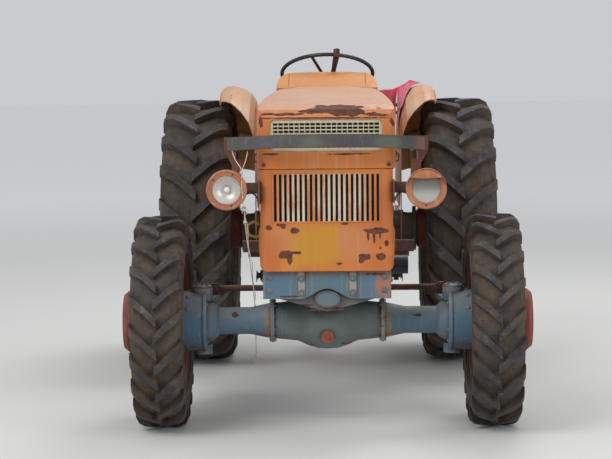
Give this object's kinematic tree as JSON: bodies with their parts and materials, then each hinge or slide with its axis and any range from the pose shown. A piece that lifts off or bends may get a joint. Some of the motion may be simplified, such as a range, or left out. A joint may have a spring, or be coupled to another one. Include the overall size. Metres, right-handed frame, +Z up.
{
  "type": "vintage four-wheel-drive farm tractor",
  "caption": "Vintage farm tractor with lugged tyres all round, steered front wheels, tilting bonnet, driver's seat between fenders, and a rear lift for implements.",
  "frame": {"origin": "on the ground under the middle of the tractor's length and width", "axes": "the front faces -Y, +Z is up, +X is the side at the right of the picture"},
  "size_m": [1.686, 3.2199, 1.5692],
  "materials": {
    "orange_paint": "faded orange paint, rust spots",
    "blue_paint": "faded blue paint, dirty",
    "grey_paint": "dull dark grey-green paint",
    "cream_paint": "chalky cream paint",
    "rim_paint": "faded red-orange paint, rusty",
    "red_paint": "dull red paint",
    "navy_paint": "satin navy paint",
    "black_paint": "worn black",
    "lamp_paint": "faded peach-orange paint",
    "rusty_steel": "rusted bare steel",
    "dark_iron": "oily grey-brown cast iron",
    "bare_steel": "worn bare steel",
    "tyre": "weathered rubber, dusty",
    "seat_vinyl": "worn black seat cover",
    "lamp_glass": "fluted lamp glass",
    "red_cloth": "faded pink-red cotton",
    "twine": "off-white twine"
  },
  "bodies": {
    "chassis": {"front_bracket": "blue_paint", "front_axle_beam": "blue_paint", "grille_box": "orange_paint", "radiator": "dark_iron", "engine_block": "dark_iron", "cylinder_head": "dark_iron", "exhaust": "rusty_steel", "injection_pump": "dark_iron", "cooling_fan": "red_paint", "oil_filter": "navy_paint", "air_cleaner": "dark_iron", "gearbox": "dark_iron", "rear_axle_housing": "dark_iron", "front_driveshaft": "dark_iron", "cowl": "orange_paint", "steering_column": "black_paint", "footplates": "rusty_steel", "pedals": "rusty_steel", "levers": "black_paint", "seat_frame": "black_paint", "seat_cushion": "seat_vinyl", "fender_left": "orange_paint", "fender_right": "orange_paint", "front_bar": "grey_paint", "lamp_brackets": "rusty_steel", "lamp_bowls": "lamp_paint", "lamp_lens": "lamp_glass", "pto_shaft": "bare_steel", "drawbar": "rusty_steel", "cloth": "red_cloth", "twine": "twine"},
    "bonnet": {"bonnet": "orange_paint", "mesh_grille": "cream_paint"},
    "knuckle_left": {"knuckle_left": "blue_paint"},
    "knuckle_right": {"knuckle_right": "blue_paint"},
    "tie_rod": {"tie_rod": "rusty_steel"},
    "steering_wheel": {"steering_wheel": "black_paint"},
    "front_wheel_left": {"front_rim_left": "rim_paint", "front_tyre_left": "tyre"},
    "front_wheel_right": {"front_rim_right": "rim_paint", "front_tyre_right": "tyre"},
    "rear_wheel_left": {"rear_rim_left": "rim_paint", "rear_tyre_left": "tyre"},
    "rear_wheel_right": {"rear_rim_right": "rim_paint", "rear_tyre_right": "tyre"},
    "lift_arms": {"lift_arms": "rusty_steel"},
    "lower_link_left": {"lower_link_left": "rusty_steel"},
    "lower_link_right": {"lower_link_right": "rusty_steel"},
    "lift_rod_left": {"lift_rod_left": "rusty_steel"},
    "lift_rod_right": {"lift_rod_right": "rusty_steel"}
  },
  "joints": [
    {"name": "steer_left", "type": "hinge", "parent": "chassis", "child": "knuckle_left", "pos_m": [-0.52, -1.17, 0.44], "axis": [0, 0, 1], "range_deg": [-35, 35]},
    {"name": "steer_right", "type": "hinge", "parent": "chassis", "child": "knuckle_right", "pos_m": [0.52, -1.17, 0.44], "axis": [0, 0, 1], "range_deg": [-35, 35]},
    {"name": "tie_rod_turn", "type": "hinge", "parent": "knuckle_left", "child": "tie_rod", "pos_m": [-0.48, -0.98, 0.555], "axis": [0, 0, 1], "range_deg": [-38.5, 38.5]},
    {"name": "steering_wheel_turn", "type": "hinge", "parent": "chassis", "child": "steering_wheel", "pos_m": [0, 0.18, 1.45], "axis": [0, 0.4226, 0.9063], "range_deg": [-421, 421]},
    {"name": "front_left_roll", "type": "hinge", "parent": "knuckle_left", "child": "front_wheel_left", "pos_m": [-0.685, -1.17, 0.44], "axis": [1, 0, 0], "continuous": true},
    {"name": "front_right_roll", "type": "hinge", "parent": "knuckle_right", "child": "front_wheel_right", "pos_m": [0.685, -1.17, 0.44], "axis": [1, 0, 0], "continuous": true},
    {"name": "rear_left_roll", "type": "hinge", "parent": "chassis", "child": "rear_wheel_left", "pos_m": [-0.635, 0.78, 0.66], "axis": [1, 0, 0], "continuous": true},
    {"name": "rear_right_roll", "type": "hinge", "parent": "chassis", "child": "rear_wheel_right", "pos_m": [0.635, 0.78, 0.66], "axis": [1, 0, 0], "continuous": true},
    {"name": "bonnet_lift", "type": "hinge", "parent": "chassis", "child": "bonnet", "pos_m": [0, -0.258, 1.386], "axis": [-1, 0, 0], "range_deg": [0, 50]},
    {"name": "lift_raise", "type": "hinge", "parent": "chassis", "child": "lift_arms", "pos_m": [0, 0.965, 0.99], "axis": [1, 0, 0], "range_deg": [-25, 35]},
    {"name": "link_left_raise", "type": "hinge", "parent": "chassis", "child": "lower_link_left", "pos_m": [-0.34, 0.8, 0.42], "axis": [1, 0, 0], "range_deg": [-15, 20]},
    {"name": "link_right_raise", "type": "hinge", "parent": "chassis", "child": "lower_link_right", "pos_m": [0.34, 0.8, 0.42], "axis": [1, 0, 0], "range_deg": [-15, 20]},
    {"name": "rod_left_swing", "type": "hinge", "parent": "lift_arms", "child": "lift_rod_left", "pos_m": [-0.179, 1.20135, 1.03168], "axis": [1, 0, 0], "range_deg": [-33, 24]},
    {"name": "rod_right_swing", "type": "hinge", "parent": "lift_arms", "child": "lift_rod_right", "pos_m": [0.179, 1.20135, 1.03168], "axis": [1, 0, 0], "range_deg": [-33, 24]}
  ],
  "couplings": [
    {"joint": "steer_right", "follows": "steer_left", "ratio": 1},
    {"joint": "tie_rod_turn", "follows": "steer_left", "ratio": -1.09},
    {"joint": "steering_wheel_turn", "follows": "steer_left", "ratio": 12},
    {"joint": "link_left_raise", "follows": "lift_raise", "ratio": 0.56},
    {"joint": "link_right_raise", "follows": "lift_raise", "ratio": 0.56},
    {"joint": "rod_left_swing", "follows": "lift_raise", "ratio": -0.92},
    {"joint": "rod_right_swing", "follows": "lift_raise", "ratio": -0.92}
  ]
}
